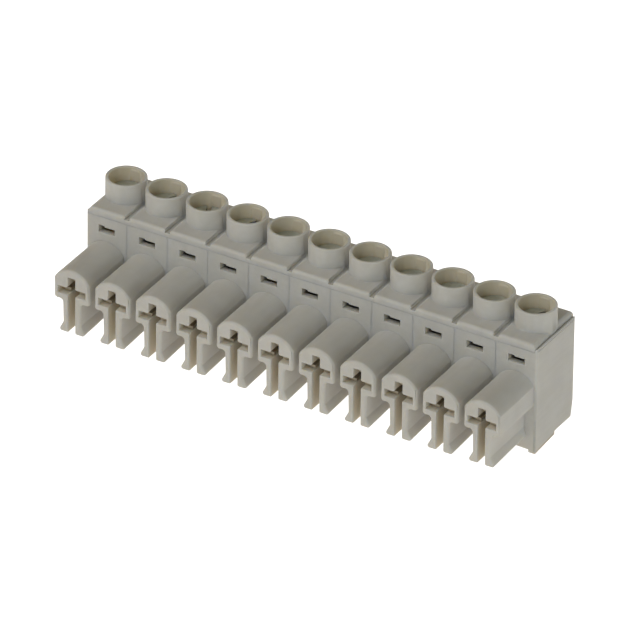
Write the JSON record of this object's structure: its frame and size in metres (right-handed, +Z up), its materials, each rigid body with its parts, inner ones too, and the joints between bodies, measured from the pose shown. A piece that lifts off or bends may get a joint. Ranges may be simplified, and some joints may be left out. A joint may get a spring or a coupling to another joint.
{
  "type": "removable terminal block",
  "caption": "Pluggable screw terminal block: row of arched mating fingers, light grey housing, round tool collars over captive clamp screws, rising-cage clamps inside.",
  "frame": {"origin": "under the middle of the block's box, on the plane that the feet stand on", "axes": "+X along the row from pole 1 to pole 11, -Y towards the header, +Y towards the wires, +Z up along the screws"},
  "size_m": [0.0558, 0.0156, 0.0158],
  "materials": {
    "housing_plastic": "fine matt moulding",
    "cover_plastic": "fine matt moulding",
    "screw_zinc": "zinc plated, satin",
    "cage_steel": "zinc plated, satin",
    "tin_plate": "tin plated copper alloy"
  },
  "bodies": {
    "block": {"top_cover": "cover_plastic", "housing_01": "housing_plastic", "housing_02": "housing_plastic", "housing_03": "housing_plastic", "housing_04": "housing_plastic", "housing_05": "housing_plastic", "housing_06": "housing_plastic", "housing_07": "housing_plastic", "housing_08": "housing_plastic", "housing_09": "housing_plastic", "housing_10": "housing_plastic", "housing_11": "housing_plastic", "contact_01": "tin_plate", "contact_02": "tin_plate", "contact_03": "tin_plate", "contact_04": "tin_plate", "contact_05": "tin_plate", "contact_06": "tin_plate", "contact_07": "tin_plate", "contact_08": "tin_plate", "contact_09": "tin_plate", "contact_10": "tin_plate", "contact_11": "tin_plate"},
    "screw_01": {"clamp_screw_01": "screw_zinc"},
    "cage_01": {"clamp_cage_01": "cage_steel"},
    "screw_02": {"clamp_screw_02": "screw_zinc"},
    "cage_02": {"clamp_cage_02": "cage_steel"},
    "screw_03": {"clamp_screw_03": "screw_zinc"},
    "cage_03": {"clamp_cage_03": "cage_steel"},
    "screw_04": {"clamp_screw_04": "screw_zinc"},
    "cage_04": {"clamp_cage_04": "cage_steel"},
    "screw_05": {"clamp_screw_05": "screw_zinc"},
    "cage_05": {"clamp_cage_05": "cage_steel"},
    "screw_06": {"clamp_screw_06": "screw_zinc"},
    "cage_06": {"clamp_cage_06": "cage_steel"},
    "screw_07": {"clamp_screw_07": "screw_zinc"},
    "cage_07": {"clamp_cage_07": "cage_steel"},
    "screw_08": {"clamp_screw_08": "screw_zinc"},
    "cage_08": {"clamp_cage_08": "cage_steel"},
    "screw_09": {"clamp_screw_09": "screw_zinc"},
    "cage_09": {"clamp_cage_09": "cage_steel"},
    "screw_10": {"clamp_screw_10": "screw_zinc"},
    "cage_10": {"clamp_cage_10": "cage_steel"},
    "screw_11": {"clamp_screw_11": "screw_zinc"},
    "cage_11": {"clamp_cage_11": "cage_steel"}
  },
  "joints": [
    {"name": "screw_01_turn", "type": "hinge", "parent": "block", "child": "screw_01", "pos_m": [-0.0254, 0.00363, 0.013], "axis": [0, 0, -1], "range_deg": [0, 2340.1]},
    {"name": "cage_01_lift", "type": "slide", "parent": "block", "child": "cage_01", "axis": [0, 0, 1], "range_m": [0, 0.00293]},
    {"name": "screw_02_turn", "type": "hinge", "parent": "block", "child": "screw_02", "pos_m": [-0.02032, 0.00363, 0.013], "axis": [0, 0, -1], "range_deg": [0, 2340.1]},
    {"name": "cage_02_lift", "type": "slide", "parent": "block", "child": "cage_02", "axis": [0, 0, 1], "range_m": [0, 0.00293]},
    {"name": "screw_03_turn", "type": "hinge", "parent": "block", "child": "screw_03", "pos_m": [-0.01524, 0.00363, 0.013], "axis": [0, 0, -1], "range_deg": [0, 2340.1]},
    {"name": "cage_03_lift", "type": "slide", "parent": "block", "child": "cage_03", "axis": [0, 0, 1], "range_m": [0, 0.00293]},
    {"name": "screw_04_turn", "type": "hinge", "parent": "block", "child": "screw_04", "pos_m": [-0.01016, 0.00363, 0.013], "axis": [0, 0, -1], "range_deg": [0, 2340.1]},
    {"name": "cage_04_lift", "type": "slide", "parent": "block", "child": "cage_04", "axis": [0, 0, 1], "range_m": [0, 0.00293]},
    {"name": "screw_05_turn", "type": "hinge", "parent": "block", "child": "screw_05", "pos_m": [-0.00508, 0.00363, 0.013], "axis": [0, 0, -1], "range_deg": [0, 2340.1]},
    {"name": "cage_05_lift", "type": "slide", "parent": "block", "child": "cage_05", "axis": [0, 0, 1], "range_m": [0, 0.00293]},
    {"name": "screw_06_turn", "type": "hinge", "parent": "block", "child": "screw_06", "pos_m": [0, 0.00363, 0.013], "axis": [0, 0, -1], "range_deg": [0, 2340.1]},
    {"name": "cage_06_lift", "type": "slide", "parent": "block", "child": "cage_06", "axis": [0, 0, 1], "range_m": [0, 0.00293]},
    {"name": "screw_07_turn", "type": "hinge", "parent": "block", "child": "screw_07", "pos_m": [0.00508, 0.00363, 0.013], "axis": [0, 0, -1], "range_deg": [0, 2340.1]},
    {"name": "cage_07_lift", "type": "slide", "parent": "block", "child": "cage_07", "axis": [0, 0, 1], "range_m": [0, 0.00293]},
    {"name": "screw_08_turn", "type": "hinge", "parent": "block", "child": "screw_08", "pos_m": [0.01016, 0.00363, 0.013], "axis": [0, 0, -1], "range_deg": [0, 2340.1]},
    {"name": "cage_08_lift", "type": "slide", "parent": "block", "child": "cage_08", "axis": [0, 0, 1], "range_m": [0, 0.00293]},
    {"name": "screw_09_turn", "type": "hinge", "parent": "block", "child": "screw_09", "pos_m": [0.01524, 0.00363, 0.013], "axis": [0, 0, -1], "range_deg": [0, 2340.1]},
    {"name": "cage_09_lift", "type": "slide", "parent": "block", "child": "cage_09", "axis": [0, 0, 1], "range_m": [0, 0.00293]},
    {"name": "screw_10_turn", "type": "hinge", "parent": "block", "child": "screw_10", "pos_m": [0.02032, 0.00363, 0.013], "axis": [0, 0, -1], "range_deg": [0, 2340.1]},
    {"name": "cage_10_lift", "type": "slide", "parent": "block", "child": "cage_10", "axis": [0, 0, 1], "range_m": [0, 0.00293]},
    {"name": "screw_11_turn", "type": "hinge", "parent": "block", "child": "screw_11", "pos_m": [0.0254, 0.00363, 0.013], "axis": [0, 0, -1], "range_deg": [0, 2340.1]},
    {"name": "cage_11_lift", "type": "slide", "parent": "block", "child": "cage_11", "axis": [0, 0, 1], "range_m": [0, 0.00293]}
  ],
  "couplings": [
    {"joint": "screw_01_turn", "follows": "cage_01_lift", "rad_per_m": 13963},
    {"joint": "screw_02_turn", "follows": "cage_02_lift", "rad_per_m": 13963},
    {"joint": "screw_03_turn", "follows": "cage_03_lift", "rad_per_m": 13963},
    {"joint": "screw_04_turn", "follows": "cage_04_lift", "rad_per_m": 13963},
    {"joint": "screw_05_turn", "follows": "cage_05_lift", "rad_per_m": 13963},
    {"joint": "screw_06_turn", "follows": "cage_06_lift", "rad_per_m": 13963},
    {"joint": "screw_07_turn", "follows": "cage_07_lift", "rad_per_m": 13963},
    {"joint": "screw_08_turn", "follows": "cage_08_lift", "rad_per_m": 13963},
    {"joint": "screw_09_turn", "follows": "cage_09_lift", "rad_per_m": 13963},
    {"joint": "screw_10_turn", "follows": "cage_10_lift", "rad_per_m": 13963},
    {"joint": "screw_11_turn", "follows": "cage_11_lift", "rad_per_m": 13963}
  ]
}
